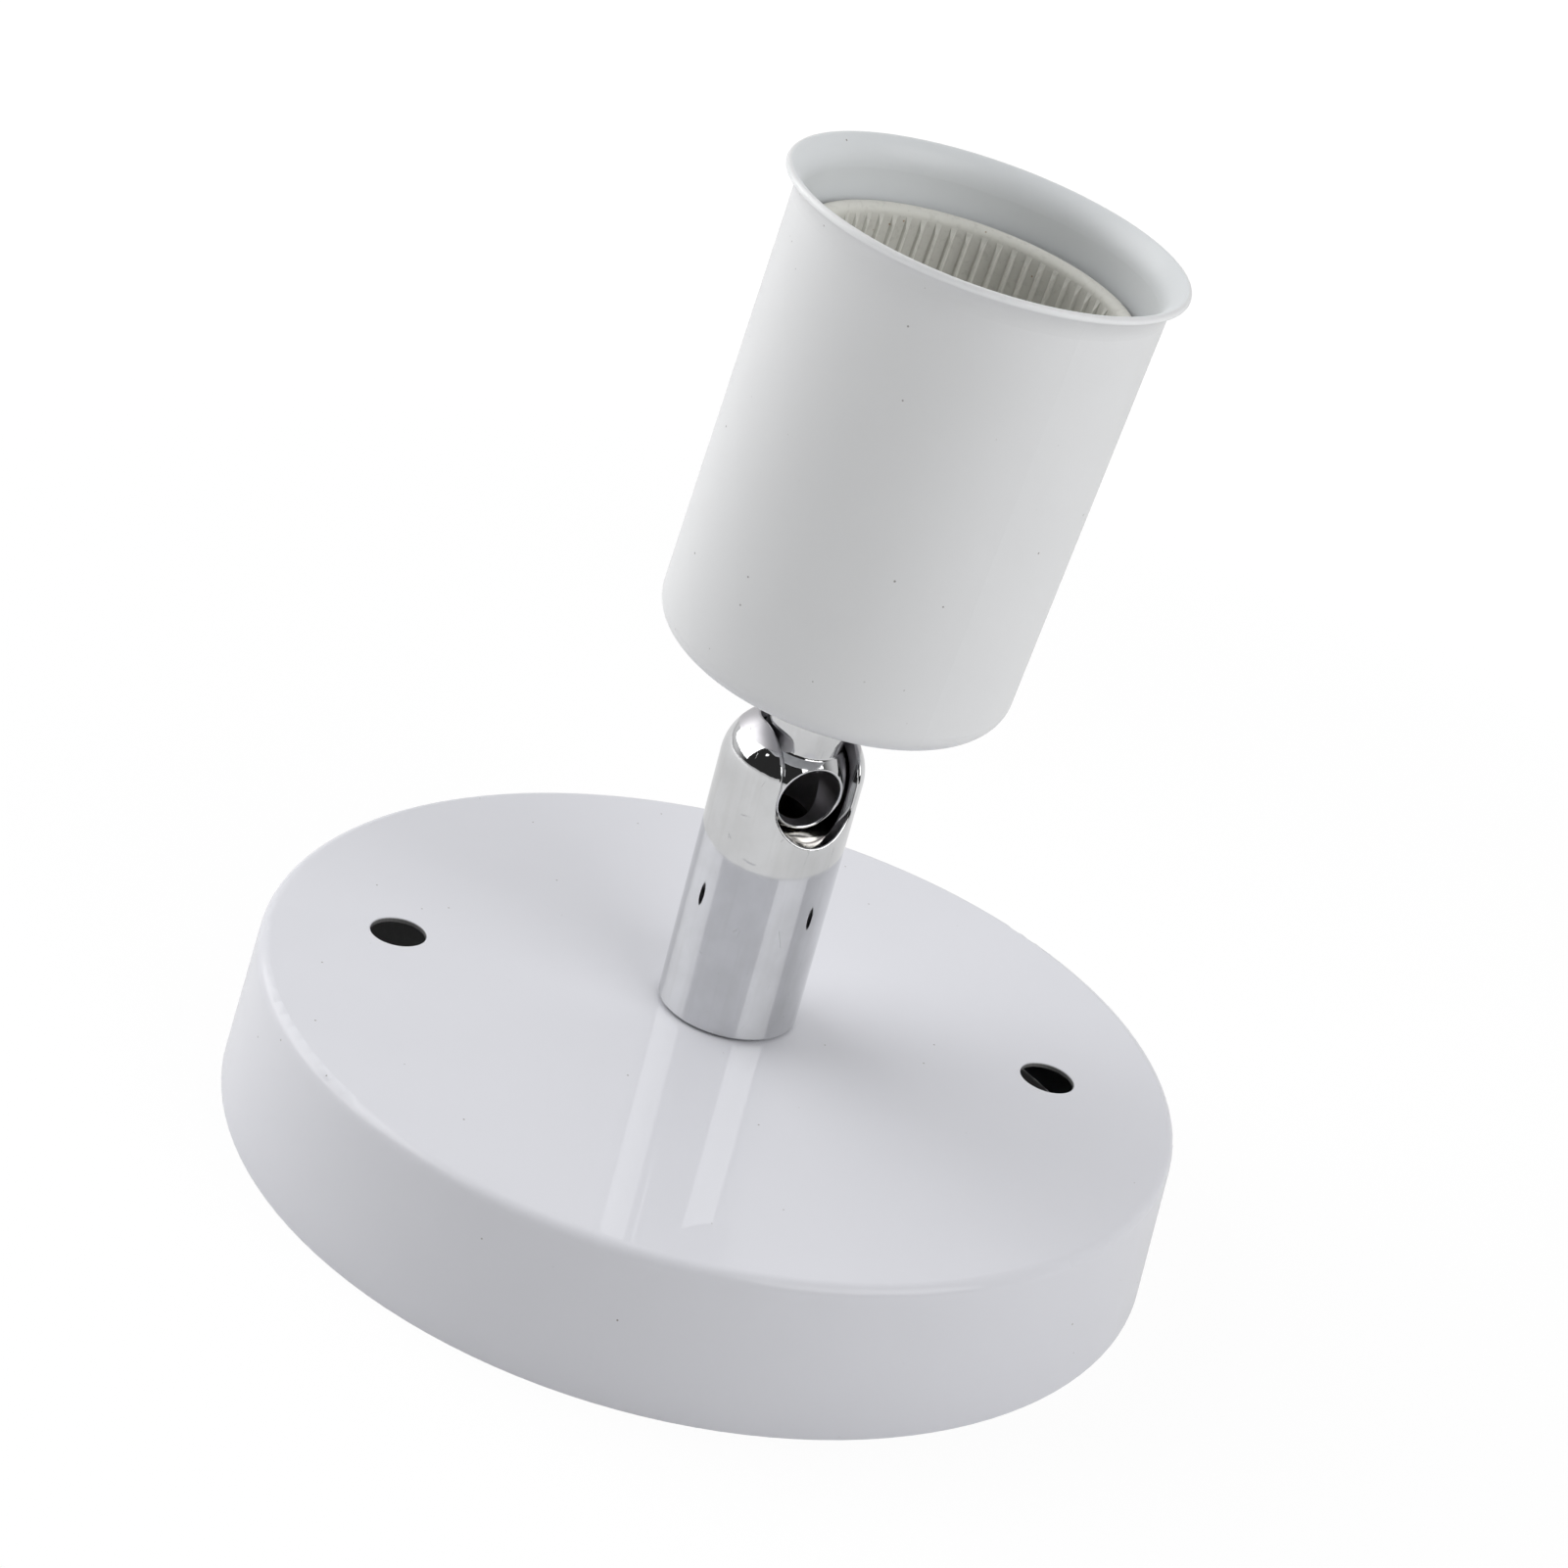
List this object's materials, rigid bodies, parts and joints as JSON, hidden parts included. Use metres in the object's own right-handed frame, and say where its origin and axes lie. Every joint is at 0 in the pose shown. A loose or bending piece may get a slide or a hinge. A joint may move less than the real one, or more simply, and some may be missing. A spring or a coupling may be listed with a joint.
{
  "type": "lamp holder",
  "caption": "Ceiling or wall lamp holder: a round canopy, a chromed slotted column that turns, a ball neck that tilts and a white cup with a porcelain screw socket.",
  "frame": {"origin": "centre of the canopy's open rim, in the plane that lies on the wall, ceiling or table", "axes": "+Z away from the wall along the column, X through the canopy's two screw holes, head in the attitude of the picture"},
  "size_m": [0.12, 0.12, 0.1271],
  "materials": {
    "white_gloss_paint": "gloss white powder coat on pressed steel",
    "white_satin_paint": "satin-gloss white powder coat on drawn steel",
    "polished_chrome": "bright chrome plating, mirror polished",
    "nickel_plated": "nickel plating, bright as drawn",
    "zinc_plated_steel": "zinc plating, bluish",
    "spring_steel": "bare spring steel, grey",
    "brass": "turned or pressed brass",
    "fibre": "red vulcanised fibre",
    "porcelain": "warm white steatite, fired without glaze"
  },
  "bodies": {
    "base": {"canopy": "white_gloss_paint", "canopy_washer": "zinc_plated_steel", "canopy_lock_washer": "spring_steel", "canopy_nut": "zinc_plated_steel", "pivot_stud": "brass"},
    "column": {"swivel_column": "polished_chrome", "foot_bush": "brass", "friction_washer": "fibre", "seat_ring": "nickel_plated", "disc_springs": "spring_steel", "spring_nut": "brass"},
    "head": {"swivel_ball": "polished_chrome", "cup": "white_satin_paint", "cup_washer": "zinc_plated_steel", "cup_lock_washer": "spring_steel", "cup_nut": "zinc_plated_steel", "lamp_bracket": "zinc_plated_steel", "bracket_screws": "zinc_plated_steel", "bracket_nuts": "zinc_plated_steel", "porcelain_body": "porcelain", "screw_shell": "nickel_plated", "centre_contact": "brass", "shell_contact": "brass", "contact_rivets": "brass", "line_terminal": "brass", "neutral_terminal": "brass", "terminal_screws": "zinc_plated_steel"}
  },
  "joints": [
    {"name": "column_swivel", "type": "hinge", "parent": "base", "child": "column", "pos_m": [0, 0, 0.0192], "axis": [0, 0, 1], "range_deg": [-160, 160]},
    {"name": "head_tilt", "type": "hinge", "parent": "column", "child": "head", "pos_m": [0, 0, 0.0522], "axis": [0.8788, 0.4772, 0], "range_deg": [-7.5, 82.5]}
  ]
}
